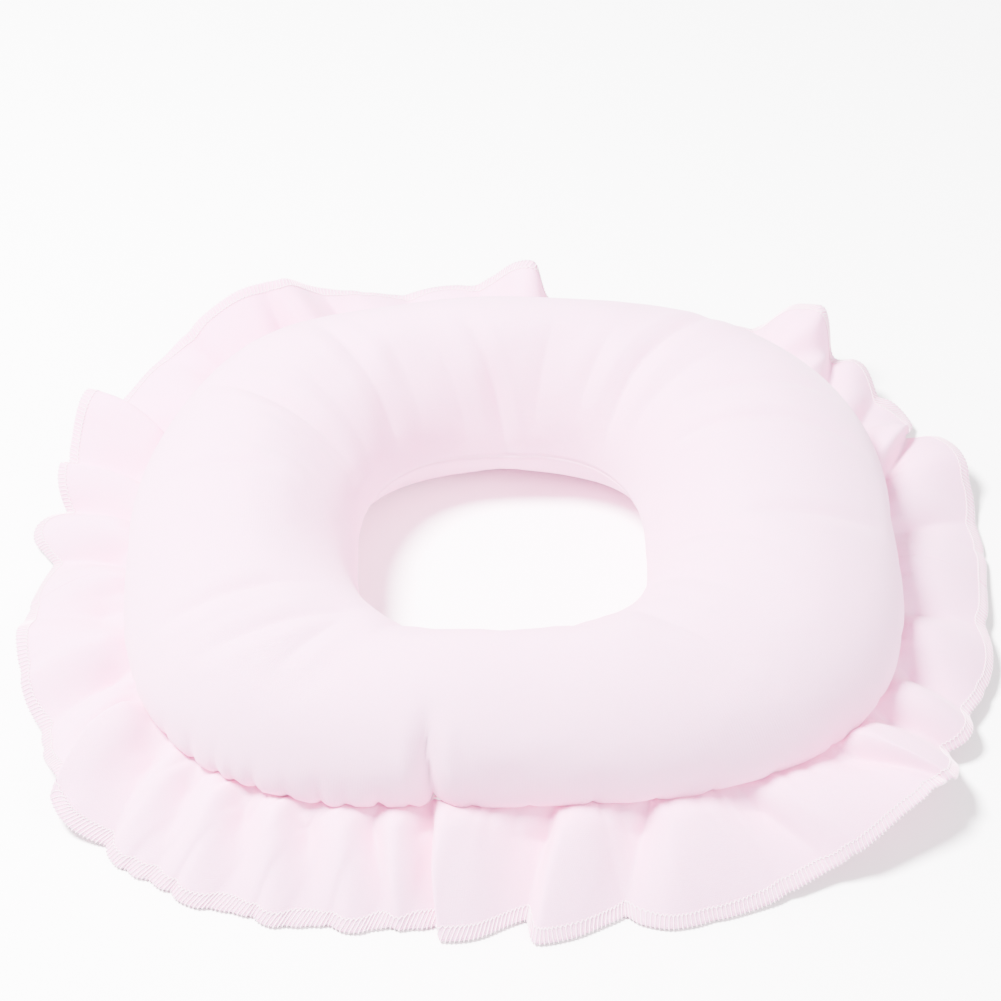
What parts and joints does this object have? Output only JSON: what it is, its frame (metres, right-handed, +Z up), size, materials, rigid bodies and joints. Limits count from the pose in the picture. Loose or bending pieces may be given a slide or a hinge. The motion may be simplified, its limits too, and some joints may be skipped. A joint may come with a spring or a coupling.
{
  "type": "face cradle cushion",
  "caption": "Stuffed cotton ring cushion with a face hole and a gathered, overlocked ruffle sewn into its outer seam, for the head end of a massage table.",
  "frame": {"origin": "middle of the face hole, on the surface that the cushion rests on", "axes": "+X across the face from left to right, along the longer side; +Y from the wearer's chin side to the forehead side; +Z up, out of the crowned top"},
  "size_m": [0.4844, 0.4162, 0.094],
  "materials": {
    "panel_cotton": "matte",
    "ruffle_cotton": "matte",
    "sewing_thread": "satin",
    "fibre_fill": "matte"
  },
  "bodies": {
    "root": {"top_panel": "panel_cotton", "bottom_panel": "panel_cotton", "fibre_filling": "fibre_fill", "ruffle_front": "ruffle_cotton", "ruffle_back": "ruffle_cotton", "ruffle_join_left": "sewing_thread", "ruffle_join_right": "sewing_thread", "hem_overlock": "sewing_thread", "gathering_thread": "sewing_thread", "outer_seam_needle_thread": "sewing_thread", "outer_seam_bobbin_thread": "sewing_thread", "hole_seam_needle_thread": "sewing_thread", "hole_seam_bobbin_thread": "sewing_thread", "closing_stitches": "sewing_thread"}
  },
  "joints": []
}
